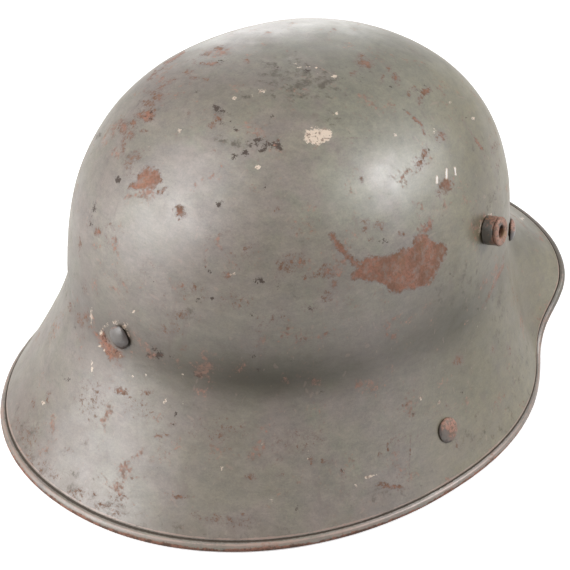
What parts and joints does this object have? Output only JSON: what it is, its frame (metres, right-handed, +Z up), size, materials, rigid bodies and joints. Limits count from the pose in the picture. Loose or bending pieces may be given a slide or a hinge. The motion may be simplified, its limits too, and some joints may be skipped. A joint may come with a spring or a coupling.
{
  "type": "steel helmet",
  "caption": "Pressed steel helmet with a domed crown, flared neck guard, raised visor, rolled hem, hollow side vent lugs, riveted leather liner and hinged chinstrap.",
  "frame": {"origin": "on the surface that the helmet stands on, below the middle of its outline", "axes": "+Z up towards the crown, -Y towards the visor, +Y towards the neck guard, -X towards the wearer's right"},
  "size_m": [0.2362, 0.3031, 0.1728],
  "materials": {
    "shell_paint": "satin field-grey paint, chipped and rusted through in patches",
    "lug_paint": "satin dark paint with a rusty end face",
    "rivet_steel": "worn dark paint over browned steel",
    "rivet_paint": "worn paint, rust pink above and grey below",
    "inner_steel": "dull browned steel",
    "band_paint": "matte grey paint",
    "pad_leather": "aged brown leather",
    "cushion_cloth": "plain woven cloth",
    "strap_leather": "dark worn leather",
    "strap_metal": "dull grey steel"
  },
  "bodies": {
    "helmet": {"shell": "shell_paint", "vent_lug_right": "lug_paint", "vent_lug_left": "lug_paint", "liner_rivet_rear": "rivet_steel", "liner_rivet_right": "rivet_steel", "liner_rivet_left": "rivet_steel", "liner_washer_rear": "inner_steel", "liner_washer_right": "inner_steel", "liner_washer_left": "inner_steel", "chinstrap_rivet_right": "rivet_paint", "chinstrap_rivet_left": "rivet_paint", "chinstrap_lug_right": "inner_steel", "chinstrap_lug_left": "inner_steel", "liner_band": "band_paint", "band_rivets": "inner_steel", "pad_front": "pad_leather", "pad_rear_right": "pad_leather", "pad_rear_left": "pad_leather", "pad_rivets": "inner_steel", "cushion_front": "cushion_cloth", "cushion_rear_right": "cushion_cloth", "cushion_rear_left": "cushion_cloth"},
    "chinstrap": {"strap_clip_right": "strap_metal", "strap_clip_left": "strap_metal", "chin_strap": "strap_leather", "buckle_right": "strap_metal", "buckle_left": "strap_metal"}
  },
  "joints": [
    {"name": "chinstrap_swing", "type": "hinge", "parent": "helmet", "child": "chinstrap", "pos_m": [0, 0.01135, 0.02323], "axis": [1, 0, 0], "range_deg": [-172, 5]}
  ]
}
